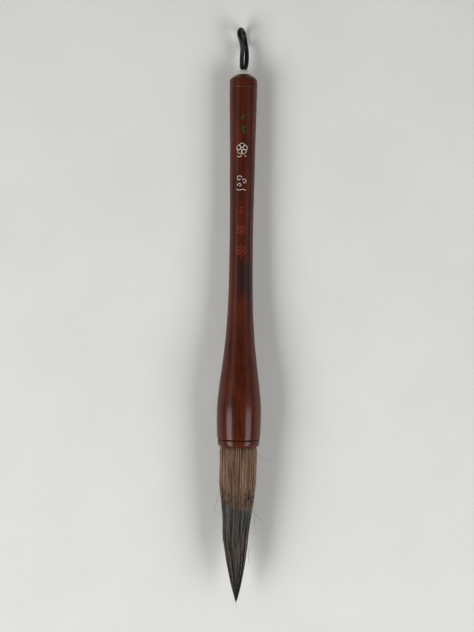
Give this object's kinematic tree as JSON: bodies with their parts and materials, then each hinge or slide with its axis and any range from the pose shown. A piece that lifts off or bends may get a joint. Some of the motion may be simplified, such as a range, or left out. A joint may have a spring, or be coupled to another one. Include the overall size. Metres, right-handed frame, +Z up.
{
  "type": "calligraphy brush",
  "caption": "Large calligraphy brush with a turned dark wooden handle that swells into a bell, a long tapered hair tuft stained at the tip, and a black hanging loop.",
  "frame": {"origin": "On the table under the middle of the brush without its loop: the brush lies on the fullest part of its bell and on its end cap.", "axes": "+Z up from the table, +Y along the brush from the hair tip toward the hanging loop, +X to the right when seen from above with the loop at the top."},
  "size_m": [0.0212, 0.2764, 0.0213],
  "materials": {
    "handle_wood": "gloss",
    "bone": "satin",
    "cord": "gloss",
    "hair": "matte",
    "hair_inked": "matte",
    "thread": "matte",
    "resin": "gloss"
  },
  "bodies": {
    "handle": {"handle_shaft": "handle_wood", "rim_ring": "handle_wood", "end_cap": "handle_wood", "loop_bush": "bone", "loop_legs": "cord", "loop_knot": "cord", "hair_cover_root": "hair", "hair_belly_root": "hair", "hair_core_root": "hair", "root_binding": "thread", "root_resin": "resin"},
    "tuft": {"hair_cover_tip": "hair_inked", "hair_belly_tip": "hair_inked", "hair_core_tip": "hair_inked"},
    "loop": {"hanging_loop": "cord"}
  },
  "joints": [
    {"name": "tuft_flex", "type": "hinge", "parent": "handle", "child": "tuft", "pos_m": [0, -0.078, 0.01165], "axis": [0, 0, 1], "range_deg": [-30, 30], "stiffness_Nm_per_rad": 0.03},
    {"name": "loop_swing", "type": "hinge", "parent": "handle", "child": "loop", "pos_m": [0, 0.1278, 0.0064], "axis": [0, 0, 1], "range_deg": [-50, 50], "deforming": ["hanging_loop"]}
  ]
}
